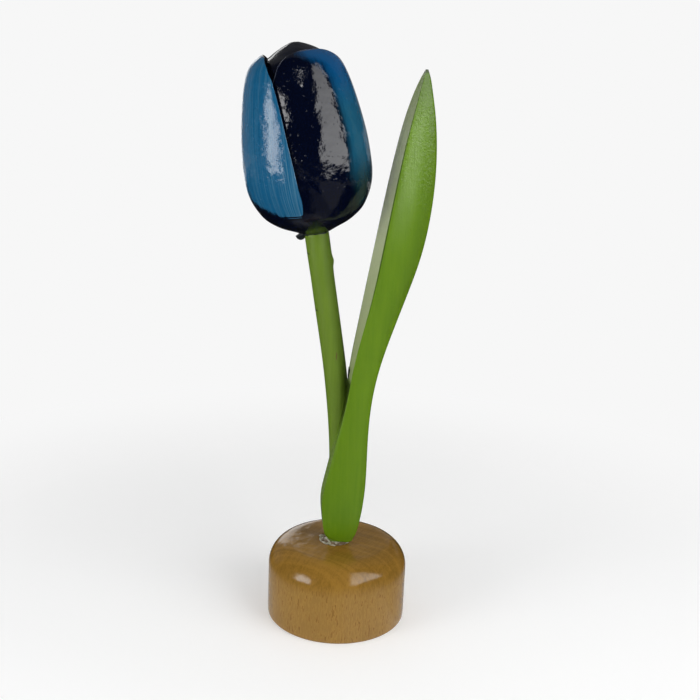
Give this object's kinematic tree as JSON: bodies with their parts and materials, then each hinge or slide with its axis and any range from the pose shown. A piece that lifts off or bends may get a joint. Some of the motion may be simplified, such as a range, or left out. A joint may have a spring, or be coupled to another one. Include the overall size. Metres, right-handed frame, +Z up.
{
  "type": "wooden tulip on a foot",
  "caption": "Painted wooden tulip with a closed pinwheel bloom, a bent dowel stem and a carved leaf, glued into a round varnished beech foot.",
  "frame": {"origin": "centre of the foot's flat underside", "axes": "+Z up along the foot's turning axis, front towards -Y, the leaf leans towards +X and the bloom towards -X"},
  "size_m": [0.0646, 0.05, 0.2024],
  "materials": {
    "varnished_beech": "clear gloss varnish on turned beech",
    "stem_paint": "satin green paint on a wooden dowel",
    "bloom_lacquer": "high gloss lacquer over brushed blue and near-black paint on wood",
    "leaf_paint": "satin green paint on carved wood",
    "clear_glue": "hardened clear glue",
    "dark_glue": "hardened glue, painted over dark"
  },
  "bodies": {
    "root": {"foot": "varnished_beech", "stem": "stem_paint", "bloom": "bloom_lacquer", "leaf": "leaf_paint", "socket_glue": "clear_glue", "bloom_glue": "dark_glue", "leaf_glue": "dark_glue"}
  },
  "joints": []
}
